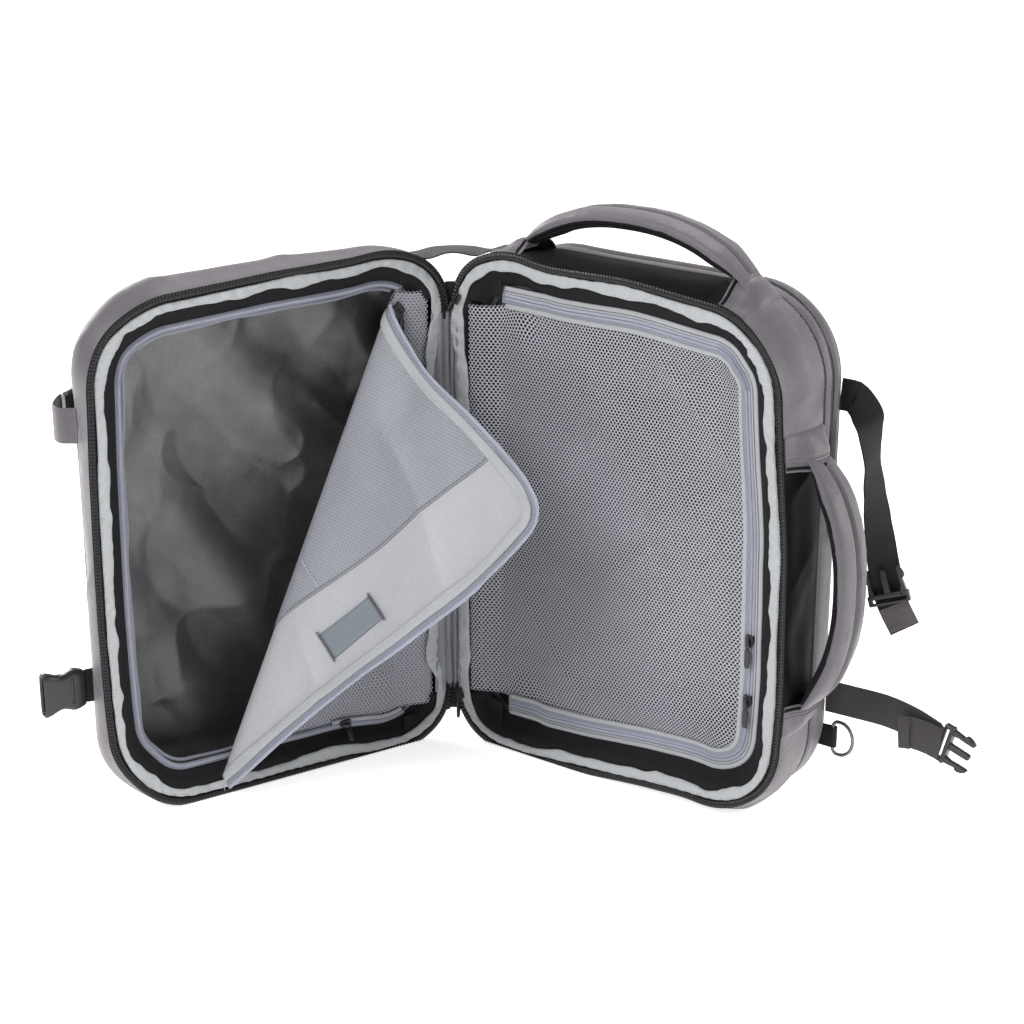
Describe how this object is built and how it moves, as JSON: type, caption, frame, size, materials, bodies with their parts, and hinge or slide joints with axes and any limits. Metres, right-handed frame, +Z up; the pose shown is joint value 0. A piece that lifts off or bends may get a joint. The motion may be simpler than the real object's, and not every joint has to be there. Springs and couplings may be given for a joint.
{
  "type": "travel backpack",
  "caption": "Travel backpack that opens like a suitcase, with zipped mesh panels, padded handles, shoulder straps and compression straps.",
  "frame": {"origin": "centre of the main shell's flat base", "axes": "+Z up, +X across the main shell away from the spine, +Y from the rim to the back panel"},
  "size_m": [0.6602, 0.4542, 0.4985],
  "materials": {
    "back_foam": "padded air mesh",
    "binding": "woven tape",
    "coil_black": "nylon coil",
    "coil_grey": "nylon coil",
    "facing": "woven, matt",
    "mesh_net": "knitted net",
    "metal": "dark bronze plating",
    "plastic": "satin moulded",
    "ripstop": "woven grid, satin",
    "shell_fabric": "woven, satin sheen",
    "webbing": "ribbed webbing"
  },
  "bodies": {
    "main": {"main_gusset": "shell_fabric", "laptop_tray": "shell_fabric", "back_panel": "back_foam", "main_zip": "coil_black", "main_binding": "binding", "main_facing": "facing", "mesh_zip": "coil_grey", "laptop_zip": "coil_black", "top_anchor_near": "shell_fabric", "top_anchor_far": "shell_fabric", "side_anchor_upper": "shell_fabric", "side_anchor_lower": "shell_fabric", "ring_tab_left": "webbing", "ring_tab_right": "webbing", "spine_leaf_main": "facing", "spine_bridge": "webbing"},
    "front": {"front_gusset": "shell_fabric", "front_panel": "shell_fabric", "front_zip": "coil_black", "front_binding": "binding", "front_facing": "facing", "divider_zip": "coil_grey", "divider_panel": "mesh_net", "socket_tab_upper": "shell_fabric", "socket_tab_lower": "webbing", "spine_leaf_front": "facing"},
    "flap": {"divider_flap": "ripstop"},
    "mesh_door": {"mesh_panel": "mesh_net"},
    "mesh_slider_upper": {"mesh_slider_upper": "plastic"},
    "mesh_pull_upper": {"mesh_pull_upper": "webbing"},
    "mesh_slider_lower": {"mesh_slider_lower": "plastic"},
    "mesh_pull_lower": {"mesh_pull_lower": "webbing"},
    "main_slider_upper": {"main_slider_upper": "plastic"},
    "main_pull_upper": {"main_pull_upper": "webbing"},
    "main_slider_lower": {"main_slider_lower": "plastic"},
    "main_pull_lower": {"main_pull_lower": "webbing"},
    "laptop_slider": {"laptop_slider": "metal"},
    "laptop_pull": {"laptop_pull": "webbing"},
    "top_handle": {"top_handle": "shell_fabric"},
    "side_handle": {"side_handle": "shell_fabric"},
    "shoulder_left": {"shoulder_strap_left": "back_foam", "adjuster_left": "plastic", "strap_web_left": "webbing"},
    "hook_left": {"strap_hook_left": "plastic"},
    "ring_left": {"d_ring_left": "metal"},
    "shoulder_right": {"shoulder_strap_right": "back_foam", "adjuster_right": "plastic", "strap_web_right": "webbing"},
    "hook_right": {"strap_hook_right": "plastic"},
    "ring_right": {"d_ring_right": "metal"},
    "upper_strap": {"upper_strap": "webbing"},
    "upper_buckle": {"upper_male_buckle": "plastic"},
    "lower_strap": {"lower_strap": "webbing"},
    "lower_buckle": {"lower_male_buckle": "plastic"},
    "socket_lower": {"female_buckle_lower": "plastic"},
    "socket_upper": {"female_buckle_upper": "plastic"},
    "divider_slider_top": {"divider_slider_top": "plastic"},
    "divider_pull_top": {"divider_pull_top": "webbing"},
    "divider_slider_low": {"divider_slider_low": "plastic"},
    "divider_pull_low": {"divider_pull_low": "webbing"}
  },
  "joints": [
    {"name": "clamshell", "type": "hinge", "parent": "main", "child": "front", "pos_m": [-0.168, -0.03, 0.225], "axis": [0, 0, 1], "range_deg": [-62, 110.3], "deforming": ["spine_bridge"]},
    {"name": "divider_fold", "type": "hinge", "parent": "front", "child": "flap", "pos_m": [-0.23026, -0.15997, 0.225], "axis": [-0.1499, -0.4052, -0.9019], "range_deg": [-63, 111], "deforming": ["divider_flap"]},
    {"name": "mesh_opening", "type": "hinge", "parent": "main", "child": "mesh_door", "pos_m": [-0.1274, -0.0138, 0.225], "axis": [0, 0, 1], "range_deg": [-100, 0]},
    {"name": "mesh_slide_upper", "type": "slide", "parent": "main", "child": "mesh_slider_upper", "axis": [0, 0, 1], "range_m": [0, 0.2]},
    {"name": "mesh_pull_swing_upper", "type": "hinge", "parent": "mesh_slider_upper", "child": "mesh_pull_upper", "pos_m": [0.1304, -0.0187, 0.162], "axis": [1, 0, 0], "range_deg": [-80, 0]},
    {"name": "mesh_slide_lower", "type": "slide", "parent": "main", "child": "mesh_slider_lower", "axis": [0, 0, 1], "range_m": [-0.024, 0]},
    {"name": "mesh_pull_swing_lower", "type": "hinge", "parent": "mesh_slider_lower", "child": "mesh_pull_lower", "pos_m": [0.1304, -0.0187, 0.108], "axis": [1, 0, 0], "range_deg": [-80, 0]},
    {"name": "main_slide_upper", "type": "slide", "parent": "main", "child": "main_slider_upper", "axis": [0.4503, 0, 0.8929], "range_m": [0, 0.01]},
    {"name": "main_pull_swing_upper", "type": "hinge", "parent": "main_slider_upper", "child": "main_pull_upper", "pos_m": [-0.16292, -0.03, 0.41018], "axis": [0, 1, 0], "range_deg": [0, 60]},
    {"name": "main_slide_lower", "type": "slide", "parent": "main", "child": "main_slider_lower", "axis": [0.4503, 0, -0.8929], "range_m": [0, 0.01]},
    {"name": "main_pull_swing_lower", "type": "hinge", "parent": "main_slider_lower", "child": "main_pull_lower", "pos_m": [-0.16292, -0.03, 0.03982], "axis": [0, 1, 0], "range_deg": [0, 35]},
    {"name": "laptop_slide", "type": "slide", "parent": "main", "child": "laptop_slider", "axis": [0, 0, 1], "range_m": [0, 0.1]},
    {"name": "laptop_pull_swing", "type": "hinge", "parent": "laptop_slider", "child": "laptop_pull", "pos_m": [0.1717, 0.041, 0.262], "axis": [0, 1, 0], "range_deg": [-80, 0]},
    {"name": "top_handle_swing", "type": "hinge", "parent": "main", "child": "top_handle", "pos_m": [0, 0.006, 0.457], "axis": [1, 0, 0], "range_deg": [-18, 18]},
    {"name": "side_handle_swing", "type": "hinge", "parent": "main", "child": "side_handle", "pos_m": [0.1735, 0.006, 0.217], "axis": [0, 0, 1], "range_deg": [-18, 18]},
    {"name": "shoulder_swing_left", "type": "hinge", "parent": "main", "child": "shoulder_left", "pos_m": [-0.042, 0.0732, 0.408], "axis": [1, 0, 0], "range_deg": [0, 70]},
    {"name": "hook_swing_left", "type": "hinge", "parent": "shoulder_left", "child": "hook_left", "pos_m": [-0.098, 0.0682, 0.084], "axis": [1, 0, 0], "range_deg": [0, 60]},
    {"name": "ring_swing_left", "type": "hinge", "parent": "main", "child": "ring_left", "pos_m": [-0.1728, 0.057, 0.06], "axis": [0, 0, 1], "range_deg": [-40, 40]},
    {"name": "shoulder_swing_right", "type": "hinge", "parent": "main", "child": "shoulder_right", "pos_m": [0.042, 0.0732, 0.408], "axis": [1, 0, 0], "range_deg": [0, 70]},
    {"name": "hook_swing_right", "type": "hinge", "parent": "shoulder_right", "child": "hook_right", "pos_m": [0.098, 0.0682, 0.084], "axis": [1, 0, 0], "range_deg": [0, 60]},
    {"name": "ring_swing_right", "type": "hinge", "parent": "main", "child": "ring_right", "pos_m": [0.1728, 0.057, 0.06], "axis": [0, 0, 1], "range_deg": [-40, 40]},
    {"name": "upper_strap_swing", "type": "hinge", "parent": "main", "child": "upper_strap", "pos_m": [0.1678, 0.0575, 0.362], "axis": [0, 1, 0], "range_deg": [-20, 0]},
    {"name": "upper_buckle_tilt", "type": "hinge", "parent": "upper_strap", "child": "upper_buckle", "pos_m": [0.21899, 0.05773, 0.19252], "axis": [0.9043, 0.2865, 0.3165], "range_deg": [0, 35]},
    {"name": "lower_strap_swing", "type": "hinge", "parent": "main", "child": "lower_strap", "pos_m": [0.1678, 0.0575, 0.096], "axis": [0, 0, 1], "range_deg": [-50, 20]},
    {"name": "lower_buckle_tilt", "type": "hinge", "parent": "lower_strap", "child": "lower_buckle", "pos_m": [0.26944, 0.05787, 0.08561], "axis": [0.261, -0.0237, 0.965], "range_deg": [-30, 30]},
    {"name": "socket_swing_lower", "type": "hinge", "parent": "front", "child": "socket_lower", "pos_m": [-0.31375, -0.33754, 0.118], "axis": [0, 0, 1], "range_deg": [-40, 40]},
    {"name": "socket_swing_upper", "type": "hinge", "parent": "front", "child": "socket_upper", "pos_m": [-0.35092, -0.30833, 0.343], "axis": [0, 0, 1], "range_deg": [0, 50]},
    {"name": "divider_slide_top", "type": "slide", "parent": "front", "child": "divider_slider_top", "axis": [-0.2248, -0.6076, 0.7618], "range_m": [0, 0.0025]},
    {"name": "divider_slide_low", "type": "slide", "parent": "front", "child": "divider_slider_low", "axis": [0.3469, 0.9379, 0], "range_m": [-0.14, 0.018]},
    {"name": "divider_pull_swing_top", "type": "hinge", "parent": "divider_slider_top", "child": "divider_pull_top", "pos_m": [-0.19015, -0.06854, 0.40267], "axis": [-0.3469, -0.9379, 0], "range_deg": [0, 30]},
    {"name": "divider_pull_swing_low", "type": "hinge", "parent": "divider_slider_low", "child": "divider_pull_low", "pos_m": [-0.21172, -0.12685, 0.0314], "axis": [-0.3469, -0.9379, 0], "range_deg": [0, 40]}
  ],
  "couplings": [
    {"joint": "divider_fold", "follows": "clamshell", "ratio": 1}
  ]
}
